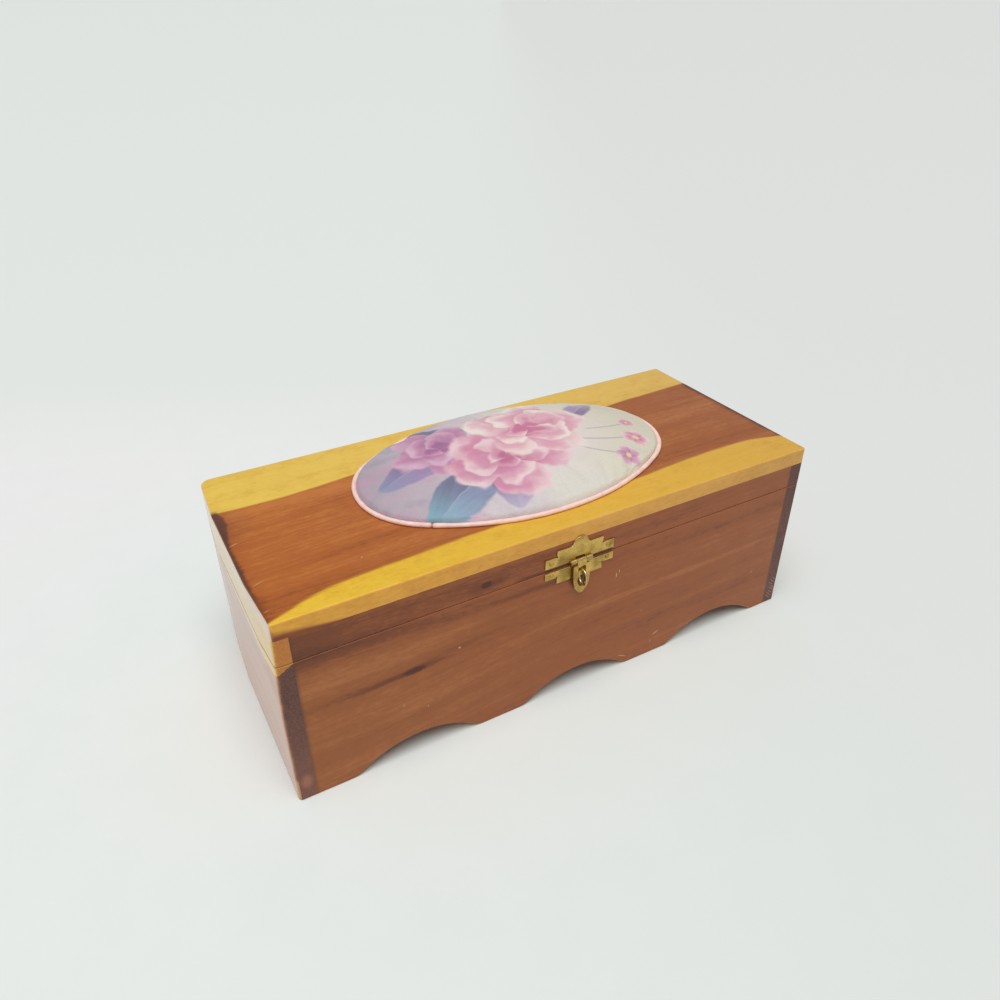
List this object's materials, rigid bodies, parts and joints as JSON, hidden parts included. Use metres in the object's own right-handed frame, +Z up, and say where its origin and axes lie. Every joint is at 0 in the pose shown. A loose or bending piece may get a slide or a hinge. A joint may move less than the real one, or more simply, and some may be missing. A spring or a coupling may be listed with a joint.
{
  "type": "keepsake box",
  "caption": "Rectangular wooden keepsake box on arched feet, with a hinged lid, a brass hasp at the front and a padded, piped fabric oval on the lid.",
  "frame": {"origin": "centre of the whole object's footprint, on the plane of the feet", "axes": "+X along the length to the right as seen from the front, the hasp side looks to -Y, +Z up"},
  "size_m": [0.2794, 0.132, 0.1092],
  "materials": {
    "wood": "sanded, satin lacquer",
    "brass": "aged, lightly tarnished plating",
    "card": "matte backing board covered by the pad's cloth",
    "pad_fabric": "plain-weave printed cotton",
    "piping_fabric": "twill-covered cord"
  },
  "bodies": {
    "box": {"front_panel": "wood", "back_panel": "wood", "left_end_panel": "wood", "right_end_panel": "wood", "bottom_board": "wood", "hasp_lower_leaf": "brass", "hasp_staple": "brass", "hasp_box_nails": "brass", "hinge_left_box_leaf": "brass", "hinge_right_box_leaf": "brass", "hinge_left_pin": "brass", "hinge_right_pin": "brass", "hinge_box_nails": "brass"},
    "lid": {"top_board": "wood", "lid_front_rail": "wood", "lid_back_rail": "wood", "lid_left_rail": "wood", "lid_right_rail": "wood", "pad_card": "card", "pad_cushion": "pad_fabric", "pad_piping": "piping_fabric", "hasp_upper_leaf": "brass", "hasp_pin": "brass", "hasp_lid_nails": "brass", "hinge_left_lid_leaf": "brass", "hinge_right_lid_leaf": "brass", "hinge_lid_nails": "brass"},
    "hasp_strap": {"hasp_strap": "brass"}
  },
  "joints": [
    {"name": "lid_hinge", "type": "hinge", "parent": "box", "child": "lid", "pos_m": [0, 0.06453, 0.0772], "axis": [-1, 0, 0], "range_deg": [0, 180]},
    {"name": "hasp_strap_hinge", "type": "hinge", "parent": "lid", "child": "hasp_strap", "pos_m": [0.0012, -0.05921, 0.0792], "axis": [-1, 0, 0], "range_deg": [0, 150]}
  ]
}
